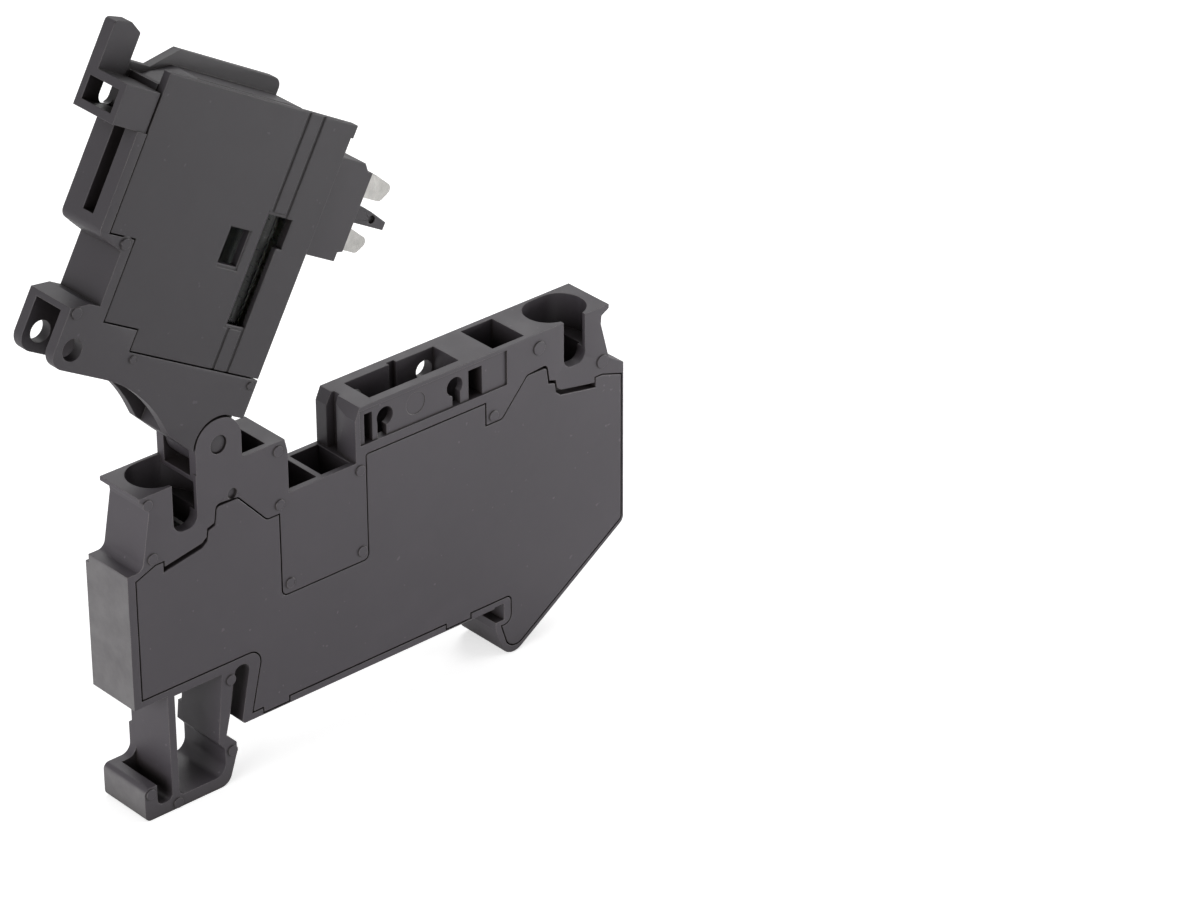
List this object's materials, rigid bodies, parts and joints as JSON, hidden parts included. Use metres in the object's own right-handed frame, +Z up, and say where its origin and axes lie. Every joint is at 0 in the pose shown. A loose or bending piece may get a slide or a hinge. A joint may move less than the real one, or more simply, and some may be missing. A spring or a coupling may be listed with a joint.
{
  "type": "fuse terminal block",
  "caption": "Slim rail-mounted terminal block with spring wire entries, a plug-in lever swung open that carries a glass fuse, two contact blades and a moulded rail foot.",
  "frame": {"origin": "on the rail seat plane, on the centre line of the 35 mm rail and in the middle of the block's thickness", "axes": "+X along the block towards the fixed foot, +Y from the cover side to the label side, +Z up, away from the rail"},
  "size_m": [0.0684, 0.0067, 0.0803],
  "materials": {
    "housing": "fine moulded",
    "side_cover": "fine moulded",
    "lever_carrier": "fine moulded",
    "lever_cover": "fine moulded",
    "contact_metal": "tinned",
    "tinned_blade": "tinned",
    "spring_steel": "rolled",
    "fuse_glass": "clear",
    "fuse_cap": "nickelled",
    "fuse_wire": "drawn"
  },
  "bodies": {
    "block": {"housing": "housing", "side_cover": "side_cover", "current_bar_left": "contact_metal", "current_bar_right": "contact_metal", "contact_jaw_left": "contact_metal", "contact_jaw_right": "contact_metal", "jaw_rivet_left": "contact_metal", "jaw_rivet_right": "contact_metal", "cage_clamp_left": "spring_steel", "cage_clamp_right": "spring_steel"},
    "lever": {"lever_carrier": "lever_carrier", "lever_cover": "lever_cover", "contact_blade_left": "tinned_blade", "contact_blade_right": "tinned_blade", "fuse_clip_left": "contact_metal", "fuse_clip_right": "contact_metal", "fuse_tube": "fuse_glass", "fuse_cap_left": "fuse_cap", "fuse_cap_right": "fuse_cap", "fuse_wire": "fuse_wire"}
  },
  "joints": [
    {"name": "lever_hinge", "type": "hinge", "parent": "block", "child": "lever", "pos_m": [-0.01692, -0.00025, 0.03126], "axis": [0, -1, 0], "range_deg": [-60.5, 28]}
  ]
}
